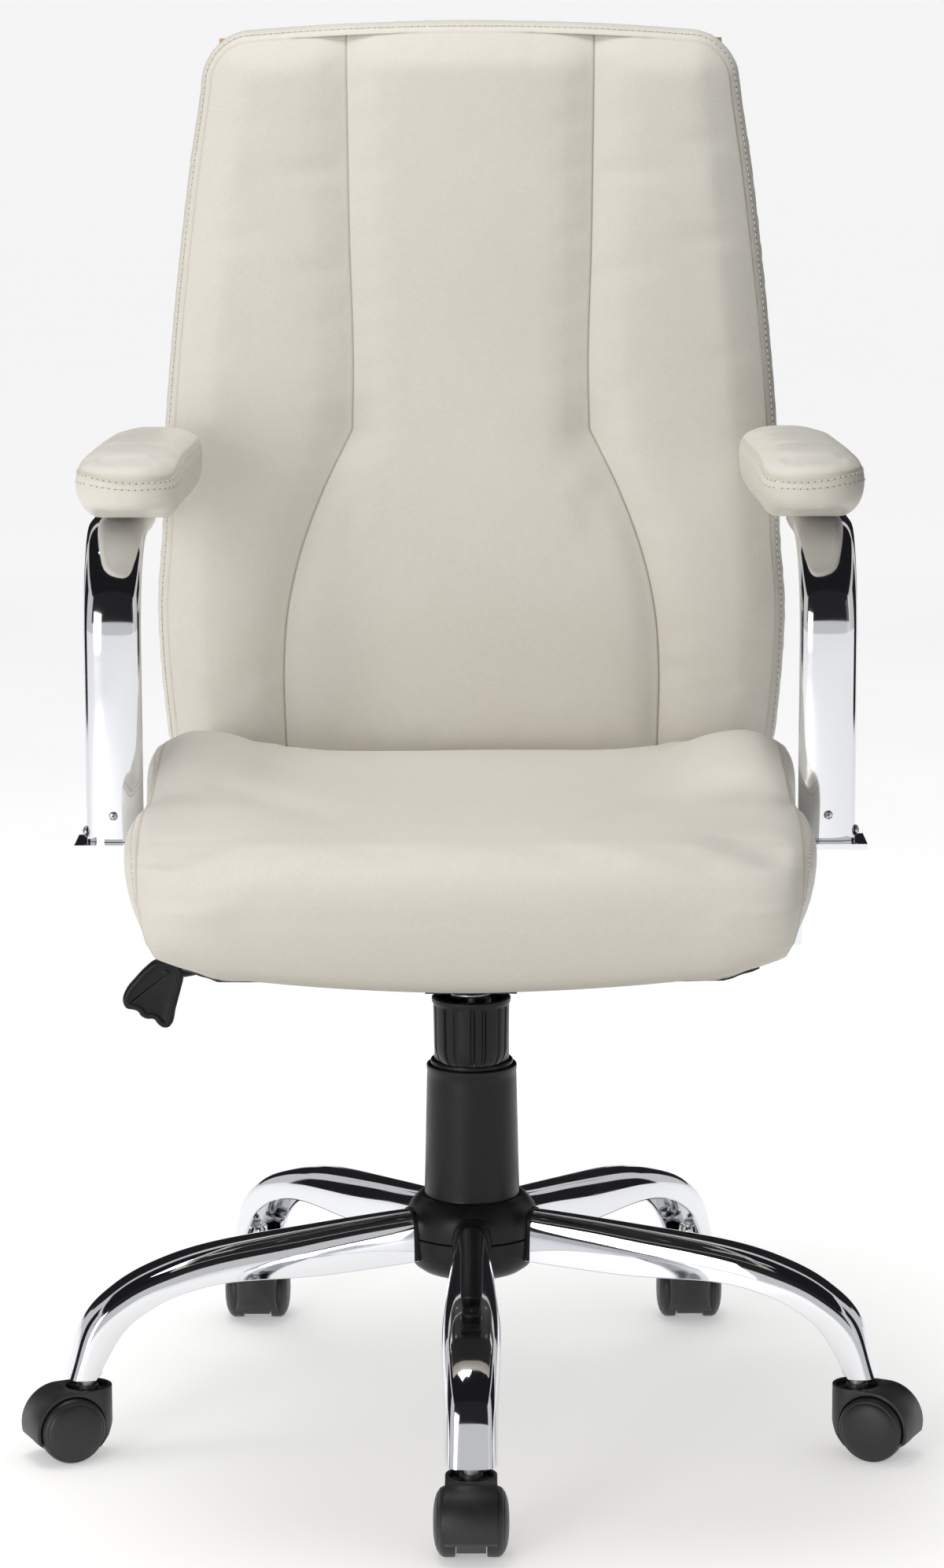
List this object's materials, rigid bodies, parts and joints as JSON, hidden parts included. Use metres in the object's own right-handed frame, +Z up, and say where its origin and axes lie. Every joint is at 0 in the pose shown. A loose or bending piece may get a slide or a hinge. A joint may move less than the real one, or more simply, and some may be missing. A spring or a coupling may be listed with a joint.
{
  "type": "executive swivel chair",
  "caption": "High-backed executive swivel chair with cream leather seat and back, chrome arms with padded rests, gas lift, tilt mechanism and chrome star base on casters.",
  "frame": {"origin": "on the floor below the column axis, at the middle of the chair's bounding box", "axes": "+Z up, -Y is the way the chair faces, +X is the sitter's left (right as seen from the front)"},
  "size_m": [0.68, 0.7014, 1.064],
  "materials": {
    "leather": "cream bonded leather, fine grain, soft satin sheen, tone-on-tone stitching",
    "chrome": "polished chrome plate",
    "steel": "zinc-plated steel",
    "black_steel": "black powder coat",
    "black_plastic": "satin black moulded plastic",
    "caster_plastic": "fine-textured black nylon",
    "nylon": "natural nylon",
    "plywood": "bare moulded plywood",
    "dust_cloth": "black non-woven dust cloth"
  },
  "bodies": {
    "base": {"base_leg_1": "chrome", "base_leg_2": "chrome", "base_leg_3": "chrome", "base_leg_4": "chrome", "base_leg_5": "chrome", "caster_stem_1": "steel", "caster_stem_2": "steel", "caster_stem_3": "steel", "caster_stem_4": "steel", "caster_stem_5": "steel", "hub_upper_shell": "black_plastic", "hub_lower_shell": "black_plastic", "hub_sleeve": "black_steel", "column_tube": "black_steel", "column_bush": "nylon", "thrust_bearing": "steel", "cover_lower": "black_plastic"},
    "piston": {"piston_rod": "steel", "rod_clip": "steel"},
    "mechanism": {"gas_cylinder": "steel", "cover_upper": "black_plastic", "mech_housing": "black_steel", "tilt_axle": "steel", "tension_spring": "steel"},
    "middle_cover": {"cover_middle": "black_plastic"},
    "button": {"release_button": "steel"},
    "lock": {"lock_plate": "steel"},
    "lever": {"lever_rod": "steel", "lever_paddle": "black_plastic"},
    "bolt": {"tension_bolt": "steel"},
    "knob": {"tension_knob": "black_plastic"},
    "seat": {"seat_cushion": "leather", "seat_pan": "plywood", "seat_dust_cover": "dust_cloth", "seat_plate": "black_steel", "back_cushion": "leather", "back_panel": "plywood", "back_rear_cover": "leather", "back_bracket": "black_steel", "arm_right": "chrome", "arm_left": "chrome", "arm_pad_right": "leather", "arm_pad_left": "leather", "arm_bracket_right": "chrome", "arm_bracket_left": "chrome"},
    "caster_1": {"caster_hood_1": "caster_plastic"},
    "wheel_a_1": {"wheel_a_1": "caster_plastic"},
    "wheel_b_1": {"wheel_b_1": "caster_plastic"},
    "caster_2": {"caster_hood_2": "caster_plastic"},
    "wheel_a_2": {"wheel_a_2": "caster_plastic"},
    "wheel_b_2": {"wheel_b_2": "caster_plastic"},
    "caster_3": {"caster_hood_3": "caster_plastic"},
    "wheel_a_3": {"wheel_a_3": "caster_plastic"},
    "wheel_b_3": {"wheel_b_3": "caster_plastic"},
    "caster_4": {"caster_hood_4": "caster_plastic"},
    "wheel_a_4": {"wheel_a_4": "caster_plastic"},
    "wheel_b_4": {"wheel_b_4": "caster_plastic"},
    "caster_5": {"caster_hood_5": "caster_plastic"},
    "wheel_a_5": {"wheel_a_5": "caster_plastic"},
    "wheel_b_5": {"wheel_b_5": "caster_plastic"}
  },
  "joints": [
    {"name": "swivel", "type": "hinge", "parent": "base", "child": "piston", "pos_m": [0, 0, 0.2], "axis": [0, 0, 1], "continuous": true},
    {"name": "seat_lift", "type": "slide", "parent": "piston", "child": "mechanism", "axis": [0, 0, 1], "range_m": [0, 0.095]},
    {"name": "middle_cover_slide", "type": "slide", "parent": "base", "child": "middle_cover", "axis": [0, 0, 1], "range_m": [0, 0.0475]},
    {"name": "tilt", "type": "hinge", "parent": "mechanism", "child": "seat", "pos_m": [0, -0.035, 0.372], "axis": [-1, 0, 0], "range_deg": [0, 12], "stiffness_Nm_per_rad": 150, "springref_deg": -17.19},
    {"name": "bolt_pull", "type": "slide", "parent": "mechanism", "child": "bolt", "axis": [0, 0, 1], "range_m": [0, 0.0074], "deforming": ["tension_spring"]},
    {"name": "tension_turn", "type": "hinge", "parent": "bolt", "child": "knob", "pos_m": [0, -0.07, 0.323], "axis": [0, 0, 1], "range_deg": [-720, 720]},
    {"name": "lock_slide", "type": "slide", "parent": "mechanism", "child": "lock", "axis": [1, 0, 0], "range_m": [0, 0.012]},
    {"name": "lever_lift", "type": "hinge", "parent": "lock", "child": "lever", "pos_m": [-0.0325, 0.004, 0.3755], "axis": [0, 1, 0], "range_deg": [0, 4], "stiffness_Nm_per_rad": 4, "springref_deg": -6.88},
    {"name": "button_press", "type": "slide", "parent": "mechanism", "child": "button", "axis": [0, 0, -1], "range_m": [0, 0.0023]},
    {"name": "caster_swivel_1", "type": "hinge", "parent": "base", "child": "caster_1", "pos_m": [0, -0.305, 0.05], "axis": [0, 0, 1], "continuous": true},
    {"name": "wheel_spin_a_1", "type": "hinge", "parent": "caster_1", "child": "wheel_a_1", "pos_m": [0, -0.323, 0.025], "axis": [1, 0, 0], "continuous": true},
    {"name": "wheel_spin_b_1", "type": "hinge", "parent": "caster_1", "child": "wheel_b_1", "pos_m": [0, -0.323, 0.025], "axis": [1, 0, 0], "continuous": true},
    {"name": "caster_swivel_2", "type": "hinge", "parent": "base", "child": "caster_2", "pos_m": [0.29007, -0.09425, 0.05], "axis": [0, 0, 1], "continuous": true},
    {"name": "wheel_spin_a_2", "type": "hinge", "parent": "caster_2", "child": "wheel_a_2", "pos_m": [0.30639, -0.10186, 0.025], "axis": [0.4226, 0.9063, 0], "continuous": true},
    {"name": "wheel_spin_b_2", "type": "hinge", "parent": "caster_2", "child": "wheel_b_2", "pos_m": [0.30639, -0.10186, 0.025], "axis": [0.4226, 0.9063, 0], "continuous": true},
    {"name": "caster_swivel_3", "type": "hinge", "parent": "base", "child": "caster_3", "pos_m": [0.17927, 0.24675, 0.05], "axis": [0, 0, 1], "continuous": true},
    {"name": "wheel_spin_a_3", "type": "hinge", "parent": "caster_3", "child": "wheel_a_3", "pos_m": [0.17927, 0.26475, 0.025], "axis": [-1, 0, 0], "continuous": true},
    {"name": "wheel_spin_b_3", "type": "hinge", "parent": "caster_3", "child": "wheel_b_3", "pos_m": [0.17927, 0.26475, 0.025], "axis": [-1, 0, 0], "continuous": true},
    {"name": "caster_swivel_4", "type": "hinge", "parent": "base", "child": "caster_4", "pos_m": [-0.17927, 0.24675, 0.05], "axis": [0, 0, 1], "continuous": true},
    {"name": "wheel_spin_a_4", "type": "hinge", "parent": "caster_4", "child": "wheel_a_4", "pos_m": [-0.17927, 0.26475, 0.025], "axis": [-1, 0, 0], "continuous": true},
    {"name": "wheel_spin_b_4", "type": "hinge", "parent": "caster_4", "child": "wheel_b_4", "pos_m": [-0.17927, 0.26475, 0.025], "axis": [-1, 0, 0], "continuous": true},
    {"name": "caster_swivel_5", "type": "hinge", "parent": "base", "child": "caster_5", "pos_m": [-0.29007, -0.09425, 0.05], "axis": [0, 0, 1], "continuous": true},
    {"name": "wheel_spin_a_5", "type": "hinge", "parent": "caster_5", "child": "wheel_a_5", "pos_m": [-0.30639, -0.10186, 0.025], "axis": [0.4226, -0.9063, 0], "continuous": true},
    {"name": "wheel_spin_b_5", "type": "hinge", "parent": "caster_5", "child": "wheel_b_5", "pos_m": [-0.30639, -0.10186, 0.025], "axis": [0.4226, -0.9063, 0], "continuous": true}
  ],
  "couplings": [
    {"joint": "middle_cover_slide", "follows": "seat_lift", "ratio": 0.5},
    {"joint": "bolt_pull", "follows": "tilt", "m_per_rad": 0.035},
    {"joint": "button_press", "follows": "lever_lift", "m_per_rad": 0.0325}
  ]
}
